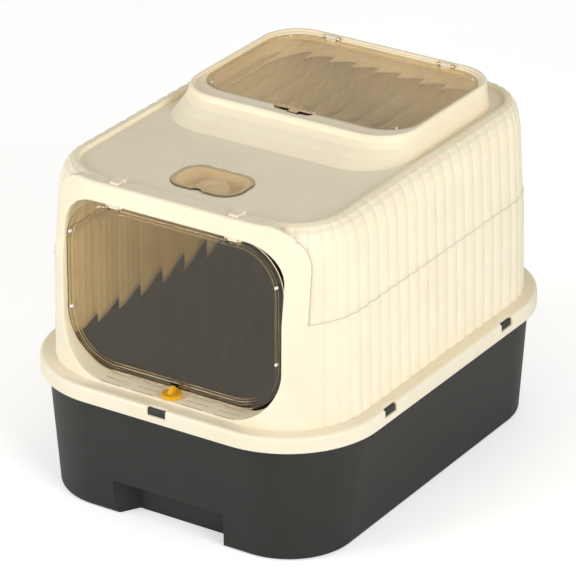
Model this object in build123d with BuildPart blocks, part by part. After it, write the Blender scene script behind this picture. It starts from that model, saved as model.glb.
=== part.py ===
"""Litter box with a fluted hood, a swinging flap door, a top lid and a turn lock.

Millimetres, +Z up. The entrance faces -Y and the origin is on the floor, under the middle of the skirt.
The hood lifts off the pan, its upper half lifts off the lower half, the door swings in and out under two
lugs, the lid swings up at the rear, the knob turns on the sill and the small cover lifts out of the deck.
"""

import math
import os
from dataclasses import dataclass

from build123d import *

# Skirt: the cream band that wraps the rim of the pan
skirt_width = 414.6
skirt_depth = 540.0
skirt_corner = 113.0
skirt_bottom = 140.0
skirt_top = 158.0
skirt_edge = 4.0
skirt_wall = 2.5
ledge_thickness = 3.0
rib_thickness = 2.2
rib_depth = 8.0

# Pan
pan_width = 364.0
pan_depth = 500.0
pan_corner = 78.0
pan_shift = 3.0
pan_top_width = 397.0
pan_top_depth = 521.0
pan_top_corner = 103.0
pan_wall = 3.0
pan_floor = 3.5
pan_edge = 6.0
rim_thickness = 3.0
recess_width = 143.0
recess_height = 42.0
recess_depth = 25.0
recess_splay = 16.0
recess_lead = 30.0

# Hood walls: a rounded plan that narrows from foot to shoulder, then curls in to the deck lip
foot_width = 381.0
foot_depth = 508.0
foot_corner = 96.0
foot_shift = 2.0
seam_height = 279.5
seam_width = 376.8
seam_depth = 503.5
seam_corner = 93.5
seam_shift = 0.5
seam_step = 1.2
shoulder_height = 345.0
shoulder_width = 368.0
shoulder_depth = 489.0
shoulder_corner = 88.0
shoulder_shift = 1.5
lip_height = 385.5
lip_width = 330.6
lip_depth = 449.1
lip_corner = 60.0
lip_shift = 5.6
hood_wall = 2.6
flute_depth = 1.6
flutes_on_end = 9
flutes_on_corner = 8
flutes_on_side = 16
shoulder_steps = 5
spigot_height = 6.0
spigot_thickness = 2.0

# Door frame, part of the lower hood
frame_width = 322.0
frame_top = 387.0
frame_corner = 50.0
frame_back = -222.4
frame_depth = 50.0
frame_plate = 3.0
frame_setback = 2.5
frame_brow = 4.5
frame_return = 20.0
brow_depth = 8.0
opening_width = 280.0
opening_top = 366.5
opening_top_corner = 44.0
opening_bottom_corner = 64.0
jamb_thickness = 3.0
jamb_back = -227.0
sill_top = 160.5
sill_thickness = 3.0
sill_back = -221.0
slot_length = 29.5
slot_width = 3.5
slot_pitch = 10.8
slot_rows = 3
slot_front = -249.0
slot_inner = 32.0
slot_outer = 73.0

# Door
door_plane = -232.0
door_thickness = 3.0
door_gap = 1.6
door_head_gap = 2.2
door_top_corner = 56.0
door_sill_gap = 5.0
door_border = 11.0
pane_setback = 0.4
pane_pitch = 28.0
pane_hollow = 0.5
ridge_width = 3.0
ridge_height = 1.2
ridge_inset = 5.5
door_notch = 10.0
door_notch_height = 8.0
bumper_radius = 1.6
bumper_length = 3.0
peg_proud = 1.0
bumper_low = 232.0
bumper_high = 321.0

# Hinges of door and lid: a steel pin fixed in a lug, running in two ears of the moving piece
pin_radius = 1.25
pin_clearance = 0.05
lug_radius = 2.6
lug_width = 12.0
lug_side_gap = 1.0
ear_radius = 2.4
ear_width = 3.5
lug_space = 4.5
hinge_spread = 75.5
pocket_gap = 0.4
door_axis = 361.0

# Deck and platform
deck_top = 381.0
deck_thickness = 3.0
lip_thickness = 6.0
lip_slant = 2.0
platform_top = 409.0
platform_width = 287.3
platform_depth = 229.6
platform_corner = 48.0
platform_shift = 93.8
platform_base_width = 302.0
platform_base_depth = 270.0
platform_base_corner = 62.0
platform_base_shift = 78.0
platform_wall = 3.0
bead_width = 4.5
bead_height = 2.2

# Lid in the platform
lid_width = 273.0
lid_depth = 196.0
lid_corner = 45.0
lid_shift = 101.8
lid_bottom = 402.5
lid_thickness = 3.0
lid_gap = 1.4
lid_shelf = 6.0
lid_shelf_thickness = 3.0
lid_border = 6.0
lid_recess = 0.8
lid_axis_y = 200.0
lid_axis_z = 407.2
lid_peg_inset = 5.0
scoop_width = 52.0
scoop_depth = 11.0
scoop_drop = 11.0
scoop_wall = 2.0
tab_width = 12.0
tab_length = 6.0

# Deodoriser: cover, cup and cartridge in the deck
cover_width = 90.0
cover_depth = 62.0
cover_corner = 24.0
cover_y = -158.0
cover_thickness = 2.5
cover_clearance = 0.5
cover_drop = 0.5
cover_bevel = 0.8
cup_flange = 1.0
cup_inset = 4.5
cup_wall = 1.5
cup_bottom = 360.0
dome_radius = 19.0
dome_wall = 2.0
dome_round = 4.0
dome_top = 375.0
window_size = 14.0
notch_radius = 9.0
notch_reach = 4.0

# Turn lock
knob_y = -240.0
knob_radius = 11.5
knob_height = 4.0
knob_bevel = 0.9
nose_radius = 3.0
nose_reach = 10.5
fin_length = 12.0
fin_thickness = 5.0
fin_top = 171.0
shaft_radius = 4.0
shaft_clearance = 0.2
retainer_radius = 7.0
retainer_thickness = 2.0

# Rim clips and hook tabs
clip_width = 23.0
clip_height = 12.0
clip_thickness = 2.4
clip_reach = 5.0
clip_round = 1.5
clip_clearance = 0.3
clip_side_front = -128.0
clip_side_rear = 119.0
window_gap = 0.5
window_strip = 7.5
hook_width = 11.0
hook_thickness = 2.4
hook_reach = 10.0
hook_drop = 7.0
hook_root = 6.0
hook_slot_length = 8.0
hook_slot_width = 2.4
fit_gap = 0.5

# Reach of a cutting or joining piece past the face it meets
past = 1.0


@dataclass(frozen=True)
class Outline:
    """A rounded rectangle in plan, symmetric in X, with its middle moved along Y."""

    width: float
    depth: float
    corner: float
    shift: float = 0.0

    def inset(self, amount):
        return Outline(
            self.width - 2 * amount,
            self.depth - 2 * amount,
            self.corner - amount,
            self.shift,
        )

    def blend(self, other, share):
        return Outline(
            self.width + (other.width - self.width) * share,
            self.depth + (other.depth - self.depth) * share,
            self.corner + (other.corner - self.corner) * share,
            self.shift + (other.shift - self.shift) * share,
        )

    @property
    def front(self):
        return self.shift - self.depth / 2

    @property
    def rear(self):
        return self.shift + self.depth / 2


skirt = Outline(skirt_width, skirt_depth, skirt_corner)
pan_foot = Outline(pan_width, pan_depth, pan_corner, pan_shift)
pan_head = Outline(pan_top_width, pan_top_depth, pan_top_corner)
foot = Outline(foot_width, foot_depth, foot_corner, foot_shift)
seam = Outline(seam_width, seam_depth, seam_corner, seam_shift)
shoulder = Outline(shoulder_width, shoulder_depth, shoulder_corner, shoulder_shift)
lip = Outline(lip_width, lip_depth, lip_corner, lip_shift)
platform_base = Outline(platform_base_width, platform_base_depth, platform_base_corner, platform_base_shift)
platform = Outline(platform_width, platform_depth, platform_corner, platform_shift)
lid_outline = Outline(lid_width, lid_depth, lid_corner, lid_shift)
cover_outline = Outline(cover_width, cover_depth, cover_corner, cover_y)

ledge_bottom = skirt_top - ledge_thickness
rim_bottom = ledge_bottom - rim_thickness
skin = hood_wall + flute_depth
deck_bottom = deck_top - deck_thickness
lid_top = lid_bottom + lid_thickness
brow_bottom = deck_bottom - brow_depth
hinge_half = lug_width / 2 + lug_side_gap + ear_width
all_across = (-skirt_width, skirt_width)


def section(height, outline):
    """Flat rounded rectangle at a height."""
    with BuildSketch(Plane.XY.offset(height)) as flat:
        with Locations((0, outline.shift)):
            RectangleRounded(outline.width, outline.depth, outline.corner)
    return flat.sketch


def tapered(stations, ruled=True):
    """Solid through (height, outline) stations, with smooth sides."""
    with BuildPart() as body:
        loft(sections=[section(height, outline) for height, outline in stations], ruled=ruled)
    return body.part


def upright(outline, bottom, top):
    """Straight solid with one outline from bottom to top."""
    with BuildPart() as body:
        add(section(bottom, outline))
        extrude(amount=top - bottom)
    return body.part


def edge_point(outline, segment, share, inset):
    """Point on an outline, drawn in by an inset.

    The segments run from the front round by the right: even ones are sides, odd ones corners.
    """
    half_x = outline.width / 2 - outline.corner
    half_y = outline.depth / 2 - outline.corner
    corners = ((half_x, -half_y), (half_x, half_y), (-half_x, half_y), (-half_x, -half_y))
    side, on_corner = divmod(segment, 2)
    if on_corner:
        x, y = corners[side]
        angle = math.radians(90 * (side - 1 + share))
    else:
        start = corners[side - 1]
        end = corners[side]
        x = start[0] + (end[0] - start[0]) * share
        y = start[1] + (end[1] - start[1]) * share
        angle = math.radians(90 * (side - 1))
    reach = outline.corner - inset
    return (x + reach * math.cos(angle), y + outline.shift + reach * math.sin(angle))


def fluted_section(height, outline, plain_front):
    """Closed outline of convex flutes; the front and half of its corners may stay plain."""
    counts = (flutes_on_end, flutes_on_corner, flutes_on_side, flutes_on_corner) * 2
    knots = []
    crests = []
    for segment, count in enumerate(counts):
        for index in range(count):
            share = index / count
            beside_front = (segment == 1 and share <= 0.5) or (segment == 7 and share >= 0.5)
            plain = plain_front and (segment == 0 or beside_front)
            knots.append(edge_point(outline, segment, share, 0.0 if plain else flute_depth))
            crests.append(edge_point(outline, segment, (index + 0.5) / count, 0.0))
    with BuildSketch(Plane.XY.offset(height)) as flat:
        with BuildLine():
            for index, crest in enumerate(crests):
                start = knots[index]
                end = knots[(index + 1) % len(knots)]
                if plain_front and index < flutes_on_end:
                    Line(start, end)
                else:
                    ThreePointArc(start, crest, end)
        make_face()
    return flat.sketch


def fluted(stations, plain_front=False):
    """Solid through (height, outline) stations, with fluted sides."""
    with BuildPart() as body:
        loft(
            sections=[fluted_section(height, outline, plain_front) for height, outline in stations],
            ruled=True,
        )
    return body.part


def arch(half_width, bottom, top, top_corner, bottom_corner, front, back):
    """Solid along Y with the outline of the doorway: tight corners above, wide ones below."""
    with BuildPart() as body:
        with BuildSketch(Plane.XZ.offset(-back)):
            with BuildLine():
                FilletPolyline(
                    (half_width, top),
                    (half_width, bottom),
                    (-half_width, bottom),
                    (-half_width, top),
                    radius=(top_corner, bottom_corner, bottom_corner, top_corner),
                    close=True,
                )
            make_face()
        extrude(amount=back - front)
    return body.part


def block(x_range, y_range, z_range):
    """Box between three ranges."""
    with BuildPart() as body:
        with Locations(
            (
                sum(x_range) / 2,
                sum(y_range) / 2,
                sum(z_range) / 2,
            )
        ):
            Box(x_range[1] - x_range[0], y_range[1] - y_range[0], z_range[1] - z_range[0])
    return body.part


def rod(middle, radius, length):
    """Round bar along X."""
    with BuildPart() as body:
        with Locations(Location(middle, (0, 90, 0))):
            Cylinder(radius, length)
    return body.part


def scalloped_sheet(plane, half_width, face, back, length):
    """Sheet whose face is a row of shallow hollows that meet in sharp lines."""
    count = round(2 * half_width / pane_pitch)
    pitch = 2 * half_width / count
    valley = face + math.copysign(pane_hollow, back - face)
    with BuildPart() as sheet:
        with BuildSketch(plane):
            with BuildLine():
                for index in range(count):
                    left = index * pitch - half_width
                    ThreePointArc((left, face), (left + pitch / 2, valley), (left + pitch, face))
                Polyline((half_width, face), (half_width, back), (-half_width, back), (-half_width, face))
            make_face()
        extrude(amount=length)
    return sheet.part


def hand_recess(grow):
    """Space of the hand recess in the pan's front, or the same space grown by a wall."""
    half = recess_width / 2 + grow
    front = pan_foot.front - recess_lead
    back = pan_foot.front + recess_depth + grow
    bend = pan_foot.front - 2 * past
    with BuildPart() as plan:
        with BuildSketch():
            with BuildLine():
                Polyline(
                    (-half - recess_splay / 4, front),
                    (half + recess_splay / 4, front),
                    (half, bend),
                    (half - recess_splay, back),
                    (-half + recess_splay, back),
                    (-half, bend),
                    close=True,
                )
            make_face()
        extrude(amount=recess_height + grow)
    return plan.part


def clip_places():
    """Each rim clip's name, its place on the skirt's face and the turn that brings -Y to its outside."""
    side = skirt_width / 2
    end = skirt_depth / 2
    return (
        ("clip_front", (0, -end), 0),
        ("clip_rear", (0, end), 180),
        ("clip_right_front", (side, clip_side_front), 90),
        ("clip_right_rear", (side, clip_side_rear), 90),
        ("clip_left_front", (-side, clip_side_front), -90),
        ("clip_left_rear", (-side, clip_side_rear), -90),
    )


def clip_shape():
    """Angle clip at the origin: its face looks along -Y and stays just behind the skirt's wall."""
    across = (-clip_width / 2, clip_width / 2)
    face = skirt_wall + clip_clearance
    with BuildPart() as shape:
        add(block(across, (face, face + clip_thickness), (ledge_bottom - clip_height, ledge_bottom)))
        add(block(across, (face, face + clip_reach), (rim_bottom, ledge_bottom)))
        top_edge = shape.edges().filter_by(Axis.X).group_by(Axis.Y)[0].sort_by(Axis.Z)[-1]
        fillet(top_edge, clip_round)
    return shape.part


def clip_pocket():
    """Space that a clip takes from the pan's rim."""
    seat = skirt_wall + clip_clearance + clip_reach
    return block((-clip_width / 2, clip_width / 2), (-past, seat), (rim_bottom - past, ledge_bottom + past))


def clip_window():
    """Opening in the skirt's edge that shows a clip."""
    half = clip_width / 2 + window_gap
    depth = skirt_wall + clip_clearance + ledge_thickness
    return block((-half, half), (-past, depth), (skirt_bottom + window_strip, skirt_top + past))


def placed(shape, place, turn):
    """Shape moved to a place on the skirt."""
    return Location((place[0], place[1], 0), (0, 0, turn)) * shape


# Pan -------------------------------------------------------------------------------------------------
pan_hollow_top = pan_head.inset(pan_wall)
with BuildPart() as pan_hollow:
    add(tapered(((pan_floor, pan_foot.inset(pan_wall)), (rim_bottom, pan_hollow_top))))
    add(upright(pan_hollow_top, rim_bottom - 1, ledge_bottom + 1))
    add(hand_recess(pan_wall), mode=Mode.SUBTRACT)

with BuildPart() as pan:
    add(tapered(((0, pan_foot), (rim_bottom, pan_head))))
    fillet(pan.edges().group_by(Axis.Z)[0], pan_edge)
    add(upright(skirt.inset(skirt_wall + 1), rim_bottom, ledge_bottom))
    add(pan_hollow.part, mode=Mode.SUBTRACT)
    add(hand_recess(0), mode=Mode.SUBTRACT)
    for name, place, turn in clip_places():
        add(placed(clip_pocket(), place, turn), mode=Mode.SUBTRACT)

# Lower hood ------------------------------------------------------------------------------------------
door_arch = (opening_width / 2, sill_top, opening_top, opening_top_corner, opening_bottom_corner)
hood_front = skirt.front - 5
hook_front = frame_back - hook_reach
frame_rear = frame_back + frame_return
frame_stations = (
    (ledge_bottom, foot),
    (seam_height, seam),
    (shoulder_height, shoulder),
    (opening_top, shoulder.inset(frame_setback)),
    (frame_top - frame_plate - 3, shoulder.inset(frame_brow)),
    (frame_top - 1.5, shoulder.inset(frame_brow + 1)),
    (frame_top, shoulder.inset(frame_brow + 3)),
)
hollow_stations = (
    (ledge_bottom - past, foot.inset(hood_wall)),
    (seam_height, seam.inset(hood_wall)),
)
frame_hollow_stations = (
    (seam_height, seam.inset(skin)),
    (shoulder_height, shoulder.inset(skin)),
    (frame_top - frame_plate, shoulder.inset(frame_brow + skin)),
)

with BuildPart() as frame_shell:
    add(tapered(frame_stations))
    add(
        arch(frame_width / 2, 0, frame_top + 1, frame_corner, 1, hood_front, hood_front + 2 * frame_depth),
        mode=Mode.INTERSECT,
    )
    add(block(all_across, (frame_back, 0), (brow_bottom, frame_top + past)), mode=Mode.SUBTRACT)
    add(block(all_across, (frame_rear, skirt_depth), (0, frame_top + past)), mode=Mode.SUBTRACT)

with BuildPart() as lower_hood:
    add(upright(skirt, skirt_bottom, skirt_top))
    fillet(lower_hood.edges().group_by(Axis.Z)[-1], skirt_edge)
    add(upright(skirt.inset(skirt_wall), skirt_bottom - 1, ledge_bottom), mode=Mode.SUBTRACT)
    add(fluted(((ledge_bottom, foot), (seam_height, seam)), plain_front=True))
    add(frame_shell.part)
    add(fluted(hollow_stations, plain_front=True), mode=Mode.SUBTRACT)
    add(tapered(frame_hollow_stations), mode=Mode.SUBTRACT)

rib_bottom = ledge_bottom - rib_depth
rib_outer = pan_foot.blend(pan_head, rib_bottom / rim_bottom).inset(pan_wall + fit_gap)
with BuildPart() as pan_rib:
    add(upright(rib_outer, rib_bottom, ledge_bottom))
    add(upright(rib_outer.inset(rib_thickness), rib_bottom - 1, ledge_bottom + 1), mode=Mode.SUBTRACT)

upper_seam = seam.inset(seam_step)
spigot = upper_seam.inset(skin + fit_gap + 0.5)
with BuildPart() as spigot_ring:
    add(upright(seam.inset(skin - hood_wall / 2), seam_height - ledge_thickness, seam_height))
    add(upright(spigot, seam_height - ledge_thickness, seam_height + spigot_height))
    add(
        upright(spigot.inset(spigot_thickness), seam_height - 10, seam_height + spigot_height + 1),
        mode=Mode.SUBTRACT,
    )

with BuildPart() as sill:
    add(upright(foot.inset(1), sill_top - sill_thickness, sill_top))
    add(block(all_across, (sill_back, skirt_depth), (0, sill_top + past)), mode=Mode.SUBTRACT)

with BuildPart() as jamb:
    add(
        arch(
            opening_width / 2 + jamb_thickness,
            sill_top - jamb_thickness,
            opening_top + jamb_thickness,
            opening_top_corner + jamb_thickness,
            opening_bottom_corner + jamb_thickness,
            hood_front,
            jamb_back,
        )
    )
    add(tapered(frame_stations), mode=Mode.INTERSECT)

with BuildPart() as slots:
    for row in range(slot_rows):
        for middle in (-slot_outer, -slot_inner, slot_inner, slot_outer):
            with BuildSketch(Plane.XY.offset(sill_top - sill_thickness - 3)):
                with Locations((middle, slot_front + row * slot_pitch)):
                    SlotOverall(slot_length, slot_width)
            extrude(amount=sill_thickness + 4)
    with Locations((0, knob_y, sill_top)):
        Cylinder(shaft_radius + shaft_clearance, 20)

with BuildPart() as lower_hood_whole:
    add(lower_hood.part)
    add(pan_rib.part)
    add(spigot_ring.part)
    add(sill.part)
    add(jamb.part)
    add(arch(*door_arch, hood_front, jamb_back + 40), mode=Mode.SUBTRACT)
    add(slots.part, mode=Mode.SUBTRACT)
    for side in (-1, 1):
        middle = side * hinge_spread
        across = (middle - lug_width / 2, middle + lug_width / 2)
        lug_depth = (door_plane - lug_radius, door_plane + lug_radius)
        add(rod((middle, door_plane, door_axis), lug_radius, lug_width))
        add(block(across, lug_depth, (door_axis, opening_top + past)))
        add(rod((middle, door_plane, door_axis), pin_radius, lug_width + past), mode=Mode.SUBTRACT)
        slot_across = (middle - hook_width / 2 - fit_gap, middle + hook_width / 2 + fit_gap)
        slot_depth = (hook_front - fit_gap, hook_front + hook_thickness + fit_gap)
        slot_bottom = frame_top - hook_drop - 2 * past
        add(block(slot_across, slot_depth, (slot_bottom, frame_top + past)), mode=Mode.SUBTRACT)
    for name, place, turn in clip_places():
        add(placed(clip_window(), place, turn), mode=Mode.SUBTRACT)

# Upper hood ------------------------------------------------------------------------------------------
curl = [math.radians(90 * step / shoulder_steps) for step in range(1, shoulder_steps + 1)]
upper_stations = [(seam_height, upper_seam), (shoulder_height, shoulder)]
for angle in curl:
    height = shoulder_height + (lip_height - shoulder_height) * math.sin(angle)
    upper_stations.append((height, shoulder.blend(lip, 1 - math.cos(angle))))

under_deck = shoulder.blend(lip, 0.4)
upper_cavity = (
    (seam_height - past, upper_seam.inset(hood_wall)),
    (shoulder_height, shoulder.inset(hood_wall)),
    (deck_bottom, under_deck.inset(hood_wall)),
)
platform_rise = platform_top - deck_top
platform_stations = [(deck_bottom, platform_base)]
for share in (0.0, 0.25, 0.5, 0.75, 0.93, 1.0):
    flare = (1 - share) ** 2
    drop = 0 if share < 1 else 1.5
    platform_stations.append(
        (deck_top + platform_rise * share, platform.blend(platform_base, flare).inset(drop))
    )

with BuildPart() as upper_shell:
    add(fluted(upper_stations))
    add(
        tapered(
            (
                (deck_top, lip.inset(lip_thickness)),
                (lip_height + past, lip.inset(lip_thickness - lip_slant)),
            )
        ),
        mode=Mode.SUBTRACT,
    )
    add(tapered(platform_stations))
    add(fluted(upper_cavity), mode=Mode.SUBTRACT)

shelf_bottom = lid_bottom - lid_shelf_thickness
rebate = lid_outline.inset(-lid_gap)
platform_hollow = (
    (deck_bottom - 1, platform_base.inset(platform_wall + 6)),
    (deck_top + platform_rise / 2, platform.blend(platform_base, 0.25).inset(platform_wall + 1)),
    (shelf_bottom, platform.inset(platform_wall)),
)


def scoop_shape(grow, bottom, top):
    """Finger scoop before the lid, or its pocket when grown by a wall."""
    with BuildPart() as shape:
        with BuildSketch(Plane.XY.offset(bottom)):
            with Locations((0, rebate.front)):
                Ellipse(scoop_width / 2 + grow, scoop_depth + grow)
        extrude(amount=top - bottom)
    return shape.part


with BuildPart() as platform_space:
    add(upright(platform.inset(bead_width), platform_top - bead_height, platform_top + past))
    add(upright(rebate, lid_bottom, platform_top + past))
    add(upright(lid_outline.inset(lid_shelf), shelf_bottom - past, platform_top + past))
    add(scoop_shape(0, platform_top - scoop_drop, platform_top + past))
    for side in (-1, 1):
        middle = side * hinge_spread
        across = (middle - hinge_half - pocket_gap, middle + hinge_half + pocket_gap)
        pocket_rear = lid_axis_y + ear_radius + pocket_gap
        pocket_bottom = lid_axis_z - ear_radius - pocket_gap
        add(block(across, (rebate.rear - past, pocket_rear), (pocket_bottom, platform_top + past)))

wide = frame_width / 2 + fit_gap
frame_space_top = frame_top + past + fit_gap
with BuildPart() as behind_frame:
    add(arch(wide, 0, frame_space_top, frame_corner + fit_gap, 1, hood_front, frame_rear + past))
    add(block((-wide, wide), (hood_front, 0), (brow_bottom, frame_space_top + past)), mode=Mode.SUBTRACT)

with BuildPart() as upper_hood:
    add(upper_shell.part)
    add(tapered(platform_hollow), mode=Mode.SUBTRACT)
    add(scoop_shape(scoop_wall, platform_top - scoop_drop - scoop_wall, shelf_bottom + 1))
    add(platform_space.part, mode=Mode.SUBTRACT)
    add(
        arch(wide, 0, frame_space_top, frame_corner + fit_gap, 1, hood_front, frame_back + fit_gap),
        mode=Mode.SUBTRACT,
    )
    add(behind_frame.part, mode=Mode.SUBTRACT)
    well = cover_outline.inset(-cover_clearance)
    cup_hole = cover_outline.inset(cup_inset - cover_clearance)
    add(upright(well, deck_top - cup_flange - cover_drop, deck_top + past), mode=Mode.SUBTRACT)
    add(upright(cup_hole, deck_bottom - past, deck_top), mode=Mode.SUBTRACT)
    for side in (-1, 1):
        middle = side * hinge_spread
        across = (middle - lug_width / 2, middle + lug_width / 2)
        lug_rear = platform.rear - bead_width
        add(rod((middle, lid_axis_y, lid_axis_z), lug_radius, lug_width))
        add(block(across, (lid_axis_y, lug_rear), (lid_bottom - past, lid_axis_z)))
        add(rod((middle, lid_axis_y, lid_axis_z), pin_radius, lug_width + past), mode=Mode.SUBTRACT)
        hook_across = (middle - hook_width / 2, middle + hook_width / 2)
        hook_top = frame_top + hook_thickness
        hook_rear = frame_back + hook_root
        add(block(hook_across, (frame_back + fit_gap, hook_rear), (deck_bottom, hook_top)))
        add(block(hook_across, (hook_front, hook_rear), (frame_top, hook_top)))
        hook_nose = (hook_front, hook_front + hook_thickness)
        add(block(hook_across, hook_nose, (frame_top - hook_drop, hook_top)))
        slot_across = (middle - hook_slot_length / 2, middle + hook_slot_length / 2)
        slot_rear = frame_back - fit_gap
        slot_along = (slot_rear - hook_slot_width, slot_rear)
        add(block(slot_across, slot_along, (frame_top, hook_top + past)), mode=Mode.SUBTRACT)

# Door ------------------------------------------------------------------------------------------------
door_front = door_plane - door_thickness / 2
door_back = door_plane + door_thickness / 2
door_depth = (door_front - 2 * ridge_height, door_back + past)


def door_arch_solid(inset, front, back):
    """Door outline, drawn in from the doorway by the door gap and a further inset."""
    side = door_gap + inset
    return arch(
        opening_width / 2 - side,
        sill_top + door_sill_gap + inset,
        opening_top - door_head_gap - inset,
        door_top_corner - inset,
        opening_bottom_corner - side,
        front,
        back,
    )


with BuildPart() as door_ridge:
    add(door_arch_solid(ridge_inset, door_front - ridge_height, door_front))
    add(
        door_arch_solid(ridge_inset + ridge_width, door_front - ridge_height - past, door_front + past),
        mode=Mode.SUBTRACT,
    )

pane_half = opening_width / 2 - door_gap - door_border + past
door_height = opening_top - sill_top
pane_front = door_front + pane_setback
pane_back = door_back - pane_setback
with BuildPart() as door_pane:
    add(scalloped_sheet(Plane.XY.offset(sill_top), pane_half, pane_front, pane_back, door_height))
    add(door_arch_solid(door_border - pane_setback, hood_front, jamb_back + past), mode=Mode.INTERSECT)

with BuildPart() as door:
    add(door_arch_solid(0, door_front, door_back))
    add(door_arch_solid(door_border, door_front - past, door_back + past), mode=Mode.SUBTRACT)
    add(door_pane.part)
    add(door_ridge.part)
    for side in (-1, 1):
        middle = side * hinge_spread
        gap_half = lug_width / 2 + lug_side_gap
        across = (middle - gap_half, middle + gap_half)
        add(block(across, door_depth, (door_axis - lug_space, opening_top)), mode=Mode.SUBTRACT)
        for ear_side in (-1, 1):
            ear_middle = middle + ear_side * (gap_half + ear_width / 2)
            add(rod((ear_middle, door_plane, door_axis), ear_radius, ear_width))
            add(
                rod((ear_middle, door_plane, door_axis), pin_radius + pin_clearance, ear_width + past),
                mode=Mode.SUBTRACT,
            )
    notch_across = (-door_notch / 2, door_notch / 2)
    door_bottom = sill_top + door_sill_gap
    notch_top = door_bottom + door_notch_height
    add(block(notch_across, door_depth, (door_bottom - past, notch_top)), mode=Mode.SUBTRACT)

bumper_x = opening_width / 2 - door_gap - ridge_inset - ridge_width / 2
bumper_front = door_front - ridge_height
with BuildPart() as door_bumpers:
    for side in (-1, 1):
        for height in (bumper_low, bumper_high):
            middle = (side * bumper_x, bumper_front - bumper_length / 2, height)
            with Locations(Location(middle, (90, 0, 0))):
                Cylinder(bumper_radius, bumper_length)

pin_length = 2 * hinge_half
with BuildPart() as door_pins:
    for side in (-1, 1):
        add(rod((side * hinge_spread, door_plane, door_axis), pin_radius, pin_length))

# Lid -------------------------------------------------------------------------------------------------
lid_field = lid_outline.inset(lid_border)
lid_plane = Plane.XZ.offset(-lid_field.rear)
lid_pane_top = lid_top - lid_recess
with BuildPart() as lid_pane:
    add(scalloped_sheet(lid_plane, lid_field.width / 2 + past, lid_pane_top, lid_bottom, lid_field.depth))
    add(upright(lid_field.inset(-pane_setback), lid_bottom, lid_top), mode=Mode.INTERSECT)

with BuildPart() as lid:
    add(upright(lid_outline, lid_bottom, lid_top))
    add(upright(lid_field, lid_bottom - past, lid_top + past), mode=Mode.SUBTRACT)
    add(lid_pane.part)
    tab_along = (lid_outline.front - tab_length, lid_outline.front + past)
    add(block((-tab_width / 2, tab_width / 2), tab_along, (lid_bottom, lid_top)))
    for side in (-1, 1):
        middle = side * hinge_spread
        gap_half = lug_width / 2 + lug_side_gap
        across = (middle - gap_half, middle + gap_half)
        notch_along = (lid_axis_y - lug_space, lid_outline.rear + past)
        add(block(across, notch_along, (lid_bottom - past, lid_top + past)), mode=Mode.SUBTRACT)
        for ear_side in (-1, 1):
            ear_middle = middle + ear_side * (gap_half + ear_width / 2)
            ear_across = (ear_middle - ear_width / 2, ear_middle + ear_width / 2)
            add(block(ear_across, (lid_axis_y - ear_radius, lid_outline.rear), (lid_bottom, lid_axis_z)))
            add(rod((ear_middle, lid_axis_y, lid_axis_z), ear_radius, ear_width))
            add(
                rod((ear_middle, lid_axis_y, lid_axis_z), pin_radius + pin_clearance, ear_width + past),
                mode=Mode.SUBTRACT,
            )

peg_reach = (lid_corner - lid_peg_inset) * math.sin(math.radians(45))
peg_x = lid_width / 2 - lid_corner + peg_reach
peg_y = lid_depth / 2 - lid_corner + peg_reach
with BuildPart() as lid_bumpers:
    for x_side in (-1, 1):
        for y_side in (-1, 1):
            with Locations((x_side * peg_x, lid_shift + y_side * peg_y, lid_top)):
                Cylinder(bumper_radius, peg_proud, align=(Align.CENTER, Align.CENTER, Align.MIN))

with BuildPart() as lid_pins:
    for side in (-1, 1):
        add(rod((side * hinge_spread, lid_axis_y, lid_axis_z), pin_radius, pin_length))

# Deodoriser ------------------------------------------------------------------------------------------
flange_bottom = deck_top - cup_flange - cover_drop
cover_bottom = flange_bottom + cup_flange
cup_outline = cover_outline.inset(cup_inset)
with BuildPart() as dome:
    with Locations((0, cover_y, cup_bottom)):
        Cylinder(dome_radius, dome_top - cup_bottom, align=(Align.CENTER, Align.CENTER, Align.MIN))
    fillet(dome.edges().group_by(Axis.Z)[-1], dome_round)

with BuildPart() as cup:
    add(upright(cover_outline, flange_bottom, cover_bottom))
    add(upright(cup_outline, cup_bottom, cover_bottom))
    add(upright(cup_outline.inset(cup_wall), cup_bottom + cup_wall, cover_bottom + 1), mode=Mode.SUBTRACT)
    add(dome.part)
    with Locations((0, cover_y, cup_bottom - 1)):
        Cylinder(
            dome_radius - dome_wall,
            dome_top - cup_bottom - dome_wall + 1,
            align=(Align.CENTER, Align.CENTER, Align.MIN),
            mode=Mode.SUBTRACT,
        )
    half = window_size / 2
    window_depth = (dome_top - dome_wall - past, dome_top + past)
    add(block((-half, half), (cover_y - half, cover_y + half), window_depth), mode=Mode.SUBTRACT)

with BuildPart() as cartridge:
    with Locations((0, cover_y, cup_bottom + 1)):
        Cylinder(
            dome_radius - dome_wall,
            dome_top - cup_bottom - dome_wall - 1,
            align=(Align.CENTER, Align.CENTER, Align.MIN),
        )

with BuildPart() as cover:
    add(upright(cover_outline, cover_bottom, cover_bottom + cover_thickness))
    chamfer(cover.edges().group_by(Axis.Z)[-1], cover_bevel)
    with Locations((0, cover_outline.front - notch_radius + notch_reach, cover_bottom)):
        Cylinder(notch_radius, 4 * cover_thickness, mode=Mode.SUBTRACT)

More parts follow.
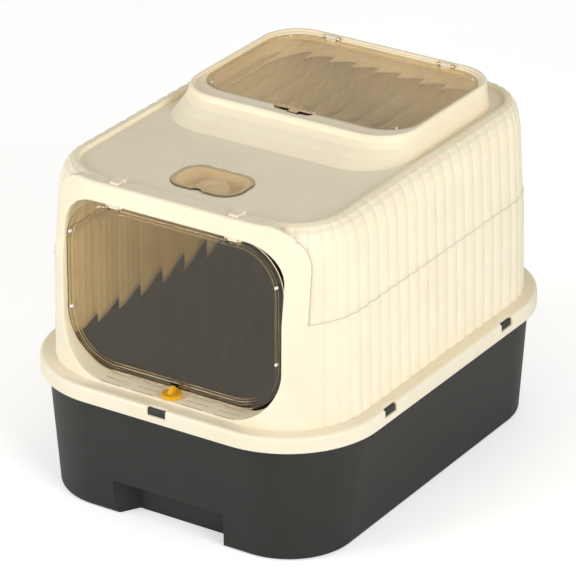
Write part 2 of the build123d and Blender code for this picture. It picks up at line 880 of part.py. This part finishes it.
# Turn lock -------------------------------------------------------------------------------------------
with BuildPart() as knob:
    with BuildSketch(Plane.XY.offset(sill_top)) as knob_plan:
        with Locations((0, knob_y)):
            Circle(knob_radius)
        with Locations((0, knob_y + nose_reach)):
            Circle(nose_radius)
        make_hull()
    extrude(amount=knob_height)
    chamfer(knob.edges().group_by(Axis.Z)[-1], knob_bevel)
    with BuildSketch(Plane.YZ.offset(-fin_thickness / 2)):
        with BuildLine():
            Polyline(
                (knob_y - fin_length / 2 - 2, sill_top + 1),
                (knob_y + fin_length / 2 - 1.5, sill_top + 1),
                (knob_y + fin_length / 2 - 1.5, fin_top),
                (knob_y + fin_length / 2 - 5, fin_top),
                close=True,
            )
        make_face()
    extrude(amount=fin_thickness)
    with Locations((0, knob_y, sill_top + past)):
        Cylinder(
            shaft_radius,
            sill_thickness + past + retainer_thickness,
            align=(Align.CENTER, Align.CENTER, Align.MAX),
        )

with BuildPart() as lock_retainer:
    with Locations((0, knob_y, sill_top - sill_thickness)):
        Cylinder(retainer_radius, retainer_thickness, align=(Align.CENTER, Align.CENTER, Align.MAX))
    with Locations((0, knob_y, sill_top - sill_thickness)):
        Cylinder(shaft_radius, 4 * retainer_thickness, mode=Mode.SUBTRACT)

# Files -----------------------------------------------------------------------------------------------
os.makedirs("parts", exist_ok=True)

pan.part.label = "pan"
export_step(pan.part, "parts/pan.step")
lower_hood_whole.part.label = "lower_hood"
export_step(lower_hood_whole.part, "parts/lower_hood.step")
upper_hood.part.label = "upper_hood"
export_step(upper_hood.part, "parts/upper_hood.step")
door.part.label = "door"
export_step(door.part, "parts/door.step")
door_bumpers.part.label = "door_bumpers"
export_step(door_bumpers.part, "parts/door_bumpers.step")
door_pins.part.label = "door_pins"
export_step(door_pins.part, "parts/door_pins.step")
lid.part.label = "lid"
export_step(lid.part, "parts/lid.step")
lid_bumpers.part.label = "lid_bumpers"
export_step(lid_bumpers.part, "parts/lid_bumpers.step")
lid_pins.part.label = "lid_pins"
export_step(lid_pins.part, "parts/lid_pins.step")
cup.part.label = "cup"
export_step(cup.part, "parts/cup.step")
cartridge.part.label = "cartridge"
export_step(cartridge.part, "parts/cartridge.step")
cover.part.label = "cover"
export_step(cover.part, "parts/cover.step")
knob.part.label = "lock_knob"
export_step(knob.part, "parts/lock_knob.step")
lock_retainer.part.label = "lock_retainer"
export_step(lock_retainer.part, "parts/lock_retainer.step")
for name, place, turn in clip_places():
    with BuildPart() as clip:
        add(placed(clip_shape(), place, turn))
    clip.part.label = name
    export_step(clip.part, f"parts/{name}.step")
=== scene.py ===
"""Litter box dressed on its CAD frame.

The pan is grained charcoal, the hood satin cream, the door, lid and small cover clear amber and the
knob yellow. Metres, in the frame's own axes: +Z up, the entrance faces -Y. The pieces of the CAD
frame keep their meshes and get their finishes here, and no piece is added to them.
"""

from __future__ import annotations

import logging
import math
from dataclasses import dataclass, field
from enum import Enum

import bpy
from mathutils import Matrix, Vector


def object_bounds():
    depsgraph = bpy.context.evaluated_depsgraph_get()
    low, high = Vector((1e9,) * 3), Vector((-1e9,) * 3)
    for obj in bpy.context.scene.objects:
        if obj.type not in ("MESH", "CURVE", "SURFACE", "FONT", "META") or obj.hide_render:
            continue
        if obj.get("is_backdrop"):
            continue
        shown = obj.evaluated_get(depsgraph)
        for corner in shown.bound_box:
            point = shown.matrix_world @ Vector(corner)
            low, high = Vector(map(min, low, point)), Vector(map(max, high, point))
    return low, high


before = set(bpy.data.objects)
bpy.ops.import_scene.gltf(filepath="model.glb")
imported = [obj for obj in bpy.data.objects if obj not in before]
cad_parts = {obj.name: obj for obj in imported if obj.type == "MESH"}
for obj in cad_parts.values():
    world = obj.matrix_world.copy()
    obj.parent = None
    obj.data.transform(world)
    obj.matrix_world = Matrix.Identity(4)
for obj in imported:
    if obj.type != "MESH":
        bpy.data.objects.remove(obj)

LOG = logging.getLogger("litter_box")

COLOUR_DETAIL = 3.0  # octaves of the slow colour noise
RELIEF_DETAIL = 2.0  # octaves of the fine relief noise
DARK_STOP = 0.35  # noise value up to which the darker colour holds
LIGHT_STOP = 0.65  # noise value from which the lighter colour holds
CREAM_REACH = (1.0, 0.8, 0.5)  # how far red, green and blue wander in the plastic, as shares
SHOWN_LIGHT = 1.0  # strength at which the pale surround is shown
FAR_CLIP = 100.0  # farthest distance in metres that the camera sees

Colour = tuple[float, float, float, float]
Point = tuple[float, float, float]


class Slot(Enum):
    """Material slots of the record, and the paint of the studio's floor."""

    CHARCOAL = "charcoal_plastic"
    CLIP = "clip_plastic"
    CREAM = "cream_plastic"
    AMBER = "amber_clear"
    RUBBER = "white_rubber"
    STEEL = "pin_steel"
    CARTRIDGE = "cartridge_block"
    YELLOW = "yellow_plastic"
    FLOOR = "floor_paint"


class Ray(Enum):
    """Kinds of ray that a material or the surround tells apart."""

    CAMERA = "Is Camera Ray"
    DIFFUSE = "Is Diffuse Ray"
    SHADOW = "Is Shadow Ray"
    TRANSMISSION = "Is Transmission Ray"


def srgb(red: int, green: int, blue: int) -> Colour:
    """Turn a display colour into the linear one that a shader takes.

    Args:
        red: Red from 0 to 255.
        green: Green from 0 to 255.
        blue: Blue from 0 to 255.

    Returns:
        The linear colour, opaque.
    """
    channels = []
    for value in (red, green, blue):
        share = value / 255
        low = share <= 0.04045
        channels.append(share / 12.92 if low else ((share + 0.055) / 1.055) ** 2.4)
    return (channels[0], channels[1], channels[2], 1.0)


def either_ray(tree: bpy.types.NodeTree, first: Ray, second: Ray) -> bpy.types.NodeSocket:
    """Tell whether a ray is of one of two kinds.

    Args:
        tree: Node tree that asks.
        first: One kind of ray.
        second: Another kind of ray.

    Returns:
        A socket that is 1 for both kinds and 0 for the others.
    """
    rays = tree.nodes.new("ShaderNodeLightPath")
    either = tree.nodes.new("ShaderNodeMath")
    either.operation = "MAXIMUM"
    tree.links.new(rays.outputs[first.value], either.inputs[0])
    tree.links.new(rays.outputs[second.value], either.inputs[1])
    return either.outputs[0]


@dataclass(frozen=True)
class Finish:
    """A moulded plastic surface: two near colours, a range of roughness and a fine relief.

    Attributes:
        slot: Material slot that it fills.
        low: Darker colour of its slow variation.
        high: Lighter colour of its slow variation.
        rough_low: Least roughness.
        rough_high: Greatest roughness.
        patch: Size of the slow variation, as a noise scale per metre.
        grain: Size of the fine relief, as a noise scale per metre.
        relief: Depth of the fine relief in metres.
        ior: Index of refraction.
        metallic: Share of metal.
        transmission: Share of light that goes through.
        strength: Strength of the relief's shading.
        glow: Share of light that wanders inside the plastic.
        glow_reach: How far it wanders, in metres.
        shine: Level of the mirror-like reflection.
    """

    slot: Slot
    low: Colour
    high: Colour
    rough_low: float
    rough_high: float
    patch: float = 18.0
    grain: float = 900.0
    relief: float = 0.00004
    ior: float = 1.5
    metallic: float = 0.0
    transmission: float = 0.0
    strength: float = 0.35
    glow: float = 0.0
    glow_reach: float = 0.01
    shine: float = 0.5

    def build(self) -> bpy.types.Material:
        """Build the material from procedural noise in the piece's own coordinates.

        Returns:
            The finished material.
        """
        material = bpy.data.materials.new(self.slot.value)
        material.use_nodes = True
        tree = material.node_tree
        nodes = tree.nodes
        nodes.clear()
        output = nodes.new("ShaderNodeOutputMaterial")
        shader = nodes.new("ShaderNodeBsdfPrincipled")
        place = nodes.new("ShaderNodeTexCoord")
        slow = nodes.new("ShaderNodeTexNoise")
        fine = nodes.new("ShaderNodeTexNoise")
        tint = nodes.new("ShaderNodeValToRGB")
        rough = nodes.new("ShaderNodeMapRange")
        bump = nodes.new("ShaderNodeBump")

        slow.inputs["Scale"].default_value = self.patch
        slow.inputs["Detail"].default_value = COLOUR_DETAIL
        fine.inputs["Scale"].default_value = self.grain
        fine.inputs["Detail"].default_value = RELIEF_DETAIL
        tint.color_ramp.elements[0].color = self.low
        tint.color_ramp.elements[0].position = DARK_STOP
        tint.color_ramp.elements[1].color = self.high
        tint.color_ramp.elements[1].position = LIGHT_STOP
        rough.inputs["To Min"].default_value = self.rough_low
        rough.inputs["To Max"].default_value = self.rough_high
        bump.inputs["Distance"].default_value = self.relief
        bump.inputs["Strength"].default_value = self.strength
        shader.inputs["IOR"].default_value = self.ior
        shader.inputs["Metallic"].default_value = self.metallic
        shader.inputs["Transmission Weight"].default_value = self.transmission
        shader.inputs["Specular IOR Level"].default_value = self.shine
        shader.inputs["Subsurface Weight"].default_value = self.glow
        shader.inputs["Subsurface Radius"].default_value = CREAM_REACH
        shader.inputs["Subsurface Scale"].default_value = self.glow_reach

        link = tree.links.new
        link(place.outputs["Object"], slow.inputs["Vector"])
        link(place.outputs["Object"], fine.inputs["Vector"])
        link(slow.outputs["Fac"], tint.inputs["Fac"])
        link(slow.outputs["Fac"], rough.inputs["Value"])
        link(fine.outputs["Fac"], bump.inputs["Height"])
        link(tint.outputs["Color"], shader.inputs["Base Color"])
        link(rough.outputs["Result"], shader.inputs["Roughness"])
        link(bump.outputs["Normal"], shader.inputs["Normal"])
        self.join(tree, shader, output)
        return material

    def join(
        self,
        tree: bpy.types.NodeTree,
        shader: bpy.types.ShaderNode,
        output: bpy.types.ShaderNode,
    ) -> None:
        """Lead the shader to the material's output.

        Args:
            tree: Node tree of the material.
            shader: Finished surface shader.
            output: Output of the material.
        """
        tree.links.new(shader.outputs["BSDF"], output.inputs["Surface"])


@dataclass(frozen=True)
class ClearFinish(Finish):
    """A clear plastic that bends what is seen through it and lets the lamps' light through.

    Attributes:
        shade: Colour of the light that it lets through.
    """

    shade: Colour = (1.0, 1.0, 1.0, 1.0)

    def join(
        self,
        tree: bpy.types.NodeTree,
        shader: bpy.types.ShaderNode,
        output: bpy.types.ShaderNode,
    ) -> None:
        """Lead the shader to the output, with plain see-through for the rays that carry light.

        Args:
            tree: Node tree of the material.
            shader: Finished surface shader.
            output: Output of the material.
        """
        lit = either_ray(tree, Ray.SHADOW, Ray.DIFFUSE)
        passing = tree.nodes.new("ShaderNodeBsdfTransparent")
        passing.inputs["Color"].default_value = self.shade
        mix = tree.nodes.new("ShaderNodeMixShader")
        link = tree.links.new
        link(lit, mix.inputs[0])
        link(shader.outputs["BSDF"], mix.inputs[1])
        link(passing.outputs["BSDF"], mix.inputs[2])
        link(mix.outputs[0], output.inputs["Surface"])


@dataclass(frozen=True)
class PaleFinish(Finish):
    """A floor paint that the camera sees paler, also through the clear plastic.

    Attributes:
        lift: Light added for those rays alone.
    """

    lift: float = 0.0

    def join(
        self,
        tree: bpy.types.NodeTree,
        shader: bpy.types.ShaderNode,
        output: bpy.types.ShaderNode,
    ) -> None:
        """Add pale light to the shader for the rays that show the floor.

        Args:
            tree: Node tree of the material.
            shader: Finished surface shader.
            output: Output of the material.
        """
        seen = either_ray(tree, Ray.CAMERA, Ray.TRANSMISSION)
        pale = tree.nodes.new("ShaderNodeEmission")
        pale.inputs["Strength"].default_value = self.lift
        both = tree.nodes.new("ShaderNodeAddShader")
        mix = tree.nodes.new("ShaderNodeMixShader")
        link = tree.links.new
        link(shader.outputs["BSDF"], both.inputs[0])
        link(pale.outputs["Emission"], both.inputs[1])
        link(seen, mix.inputs[0])
        link(shader.outputs["BSDF"], mix.inputs[1])
        link(both.outputs[0], mix.inputs[2])
        link(mix.outputs[0], output.inputs["Surface"])


CREAM = Finish(
    Slot.CREAM,
    low=srgb(248, 231, 202),
    high=srgb(251, 235, 207),
    rough_low=0.36,
    rough_high=0.46,
    grain=1400.0,
    relief=0.00003,
    glow=0.45,
    glow_reach=0.01,
    shine=0.35,
)
CHARCOAL = Finish(
    Slot.CHARCOAL,
    low=srgb(31, 30, 27),
    high=srgb(36, 35, 32),
    rough_low=0.42,
    rough_high=0.52,
    grain=1600.0,
    relief=0.0001,
    strength=0.6,
)
CLIP = Finish(
    Slot.CLIP,
    low=srgb(40, 40, 39),
    high=srgb(46, 46, 45),
    rough_low=0.45,
    rough_high=0.55,
)
AMBER = ClearFinish(
    Slot.AMBER,
    low=srgb(232, 214, 180),
    high=srgb(237, 220, 188),
    rough_low=0.02,
    rough_high=0.05,
    grain=60.0,
    relief=0.00001,
    ior=1.49,
    transmission=1.0,
    strength=0.1,
    shine=0.1,
    shade=srgb(252, 249, 243),
)
RUBBER = Finish(
    Slot.RUBBER,
    low=srgb(238, 234, 226),
    high=srgb(246, 243, 236),
    rough_low=0.6,
    rough_high=0.7,
)
STEEL = Finish(
    Slot.STEEL,
    low=srgb(188, 188, 188),
    high=srgb(206, 206, 206),
    rough_low=0.25,
    rough_high=0.35,
    metallic=1.0,
)
CARTRIDGE = Finish(
    Slot.CARTRIDGE,
    low=srgb(232, 218, 186),
    high=srgb(244, 234, 208),
    rough_low=0.85,
    rough_high=0.95,
    grain=500.0,
    relief=0.0003,
    strength=0.9,
)
YELLOW = Finish(
    Slot.YELLOW,
    low=srgb(224, 164, 12),
    high=srgb(232, 173, 20),
    rough_low=0.3,
    rough_high=0.38,
)
FLOOR = PaleFinish(
    Slot.FLOOR,
    low=srgb(244, 244, 242),
    high=srgb(247, 247, 245),
    rough_low=0.8,
    rough_high=0.9,
    patch=2.0,
    relief=0.00001,
    lift=0.42,
)
FINISHES = (CREAM, CHARCOAL, CLIP, AMBER, RUBBER, STEEL, CARTRIDGE, YELLOW)


@dataclass
class Wardrobe:
    """The built materials, one for each slot.

    Attributes:
        materials: Material by slot.
    """

    materials: dict[Slot, bpy.types.Material] = field(default_factory=dict)

    def fill(self) -> None:
        """Build every finish once."""
        for finish in FINISHES:
            self.materials[finish.slot] = finish.build()
            LOG.info("finish %s", finish.slot.value)

    def dress(self, piece: bpy.types.Object, slot: Slot) -> None:
        """Give a piece its finish and its slot name.

        Args:
            piece: Object to dress.
            slot: Slot whose finish it takes.
        """
        piece.data.materials.clear()
        piece.data.materials.append(self.materials[slot])
        LOG.info("dressed %s in %s", piece.name, slot.value)


@dataclass
class SubAssembly:
    """A group of CAD nodes that share a purpose, each with its finish.

    Attributes:
        wardrobe: Materials to dress with.
        finishes: Slot by node name.
        smooth_angle: Greatest angle in degrees that shades smooth.
    """

    wardrobe: Wardrobe
    finishes: dict[str, Slot] = field(default_factory=dict)
    smooth_angle: float = 28.0

    def build(self) -> None:
        """Dress each node and shade its soft edges smooth."""
        for name, slot in self.finishes.items():
            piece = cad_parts[name]
            self.wardrobe.dress(piece, slot)
            self.soften(piece)

    def soften(self, piece: bpy.types.Object) -> None:
        """Shade a piece smooth except across its sharp edges.

        Args:
            piece: Object whose mesh is shaded.
        """
        bpy.ops.object.select_all(action="DESELECT")
        piece.select_set(True)
        bpy.context.view_layer.objects.active = piece
        bpy.ops.object.shade_smooth_by_angle(angle=math.radians(self.smooth_angle))
        piece.select_set(False)


@dataclass
class Pan(SubAssembly):
    """Charcoal pan with its six rim clips."""

    finishes: dict[str, Slot] = field(
        default_factory=lambda: {
            "pan": Slot.CHARCOAL,
            "clip_front": Slot.CLIP,
            "clip_rear": Slot.CLIP,
            "clip_right_front": Slot.CLIP,
            "clip_right_rear": Slot.CLIP,
            "clip_left_front": Slot.CLIP,
            "clip_left_rear": Slot.CLIP,
        }
    )


@dataclass
class LowerHood(SubAssembly):
    """Lower half of the hood, with the door frame, sill and skirt."""

    finishes: dict[str, Slot] = field(
        default_factory=lambda: {"lower_hood": Slot.CREAM, "door_pins": Slot.STEEL}
    )


@dataclass
class UpperHood(SubAssembly):
    """Upper half of the hood, with the deck and the platform."""

    finishes: dict[str, Slot] = field(
        default_factory=lambda: {"upper_hood": Slot.CREAM, "lid_pins": Slot.STEEL}
    )


@dataclass
class Door(SubAssembly):
    """Clear flap door with its bumpers."""

    finishes: dict[str, Slot] = field(
        default_factory=lambda: {"door": Slot.AMBER, "door_bumpers": Slot.RUBBER}
    )


@dataclass
class Lid(SubAssembly):
    """Clear ribbed lid with its pegs."""

    finishes: dict[str, Slot] = field(
        default_factory=lambda: {"lid": Slot.AMBER, "lid_bumpers": Slot.RUBBER}
    )


@dataclass
class Deodoriser(SubAssembly):
    """Cup, cartridge and clear cover in the deck."""

    finishes: dict[str, Slot] = field(
        default_factory=lambda: {
            "cup": Slot.CREAM,
            "cartridge": Slot.CARTRIDGE,
            "cover": Slot.AMBER,
        }
    )


@dataclass
class TurnLock(SubAssembly):
    """Yellow knob on the sill and the ring that holds it."""

    finishes: dict[str, Slot] = field(
        default_factory=lambda: {"lock_knob": Slot.YELLOW, "lock_retainer": Slot.YELLOW}
    )


@dataclass(frozen=True)
class Lamp:
    """A soft square lamp that looks at the object.

    Attributes:
        name: Name of the lamp.
        place: Where it stands.
        size: Side of its square.
        power: Power in watts.
    """

    name: str
    place: Point
    size: float
    power: float

    def light(self, target: Vector) -> None:
        """Hang the lamp and turn it to the target.

        Args:
            target: Point that it looks at.
        """
        data = bpy.data.lights.new(self.name, "AREA")
        data.shape = "SQUARE"
        data.size = self.size
        data.energy = self.power
        lamp = bpy.data.objects.new(self.name, data)
        lamp.location = self.place
        lamp.rotation_euler = (target - Vector(self.place)).to_track_quat("-Z", "Y").to_euler()
        bpy.context.scene.collection.objects.link(lamp)
        LOG.info("lamp %s", self.name)


@dataclass
class Studio:
    """Plain pale floor, pale surround, soft lamps and the photograph's camera.

    Attributes:
        target: Point that the lamps and the camera look at.
        camera_place: Where the camera stands.
        lens: Focal length in millimetres.
        sensor: Sensor width in millimetres.
        floor_size: Side of the floor.
        surround: Colour of what surrounds the object.
        surround_light: Strength of the surround's light on the object.
        lamps: The lamps.
    """

    target: Vector = field(default_factory=lambda: Vector((0.00114, -0.01129, 0.19698)))
    camera_place: Vector = field(default_factory=lambda: Vector((2.20619, -3.43959, 2.14543)))
    lens: float = 254.66
    sensor: float = 36.0
    floor_size: float = 60.0
    surround: Colour = (1.0, 0.995, 0.985, 1.0)
    surround_light: float = 0.45
    lamps: tuple[Lamp, ...] = (
        Lamp("front_lamp", (-2.0, -2.7, 1.1), 2.0, 62.0),
        Lamp("right_lamp", (2.95, -1.3, 1.3), 2.0, 68.0),
    )

    def build(self) -> None:
        """Lay the floor, colour the surround, hang the lamps and set the camera."""
        self.lay_floor()
        self.colour_surround()
        for lamp in self.lamps:
            lamp.light(self.target)
        self.set_camera()
        bpy.context.scene.view_settings.view_transform = "Standard"

    def lay_floor(self) -> None:
        """Lay a large pale floor that keeps the object's shadow."""
        half = self.floor_size / 2
        corners = [(-half, -half, 0.0), (half, -half, 0.0), (half, half, 0.0), (-half, half, 0.0)]
        mesh = bpy.data.meshes.new("floor")
        mesh.from_pydata(corners, [], [(0, 1, 2, 3)])
        floor = bpy.data.objects.new("floor", mesh)
        bpy.context.scene.collection.objects.link(floor)
        mesh.materials.append(FLOOR.build())
        floor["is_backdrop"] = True
        LOG.info("floor laid")

    def colour_surround(self) -> None:
        """Show a pale surround to the camera and light the object softly from all round."""
        world = bpy.context.scene.world or bpy.data.worlds.new("surround")
        bpy.context.scene.world = world
        world.use_nodes = True
        tree = world.node_tree
        nodes = tree.nodes
        nodes.clear()
        output = nodes.new("ShaderNodeOutputWorld")
        lighting = nodes.new("ShaderNodeBackground")
        shown = nodes.new("ShaderNodeBackground")
        mix = nodes.new("ShaderNodeMixShader")
        lighting.inputs["Color"].default_value = self.surround
        lighting.inputs["Strength"].default_value = self.surround_light
        shown.inputs["Color"].default_value = self.surround
        shown.inputs["Strength"].default_value = SHOWN_LIGHT
        link = tree.links.new
        link(either_ray(tree, Ray.CAMERA, Ray.TRANSMISSION), mix.inputs[0])
        link(lighting.outputs[0], mix.inputs[1])
        link(shown.outputs[0], mix.inputs[2])
        link(mix.outputs[0], output.inputs["Surface"])
        LOG.info("surround coloured")

    def set_camera(self) -> None:
        """Stand the camera where the photograph was taken from."""
        data = bpy.data.cameras.new("camera")
        data.sensor_width = self.sensor
        data.lens = self.lens
        data.clip_end = FAR_CLIP
        camera = bpy.data.objects.new("camera", data)
        camera.location = self.camera_place
        sight = self.target - self.camera_place
        camera.rotation_euler = sight.to_track_quat("-Z", "Y").to_euler()
        bpy.context.scene.collection.objects.link(camera)
        bpy.context.scene.camera = camera
        LOG.info("camera set")


def write_size(after: tuple) -> None:
    """Log a line once the bounds are taken; nothing is kept or written.

    Args:
        after: Bounds of the dressed part; not used.
    """
    LOG.info("sizes written")


def main() -> None:
    """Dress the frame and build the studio."""
    logging.basicConfig(level=logging.INFO, format="%(name)s: %(message)s")
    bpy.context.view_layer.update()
    wardrobe = Wardrobe()
    wardrobe.fill()
    for assembly in (Pan, LowerHood, UpperHood, Door, Lid, Deodoriser, TurnLock):
        assembly(wardrobe).build()
        LOG.info("built %s", assembly.__name__)
    Studio().build()
    write_size(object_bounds())


if __name__ == "__main__":
    main()
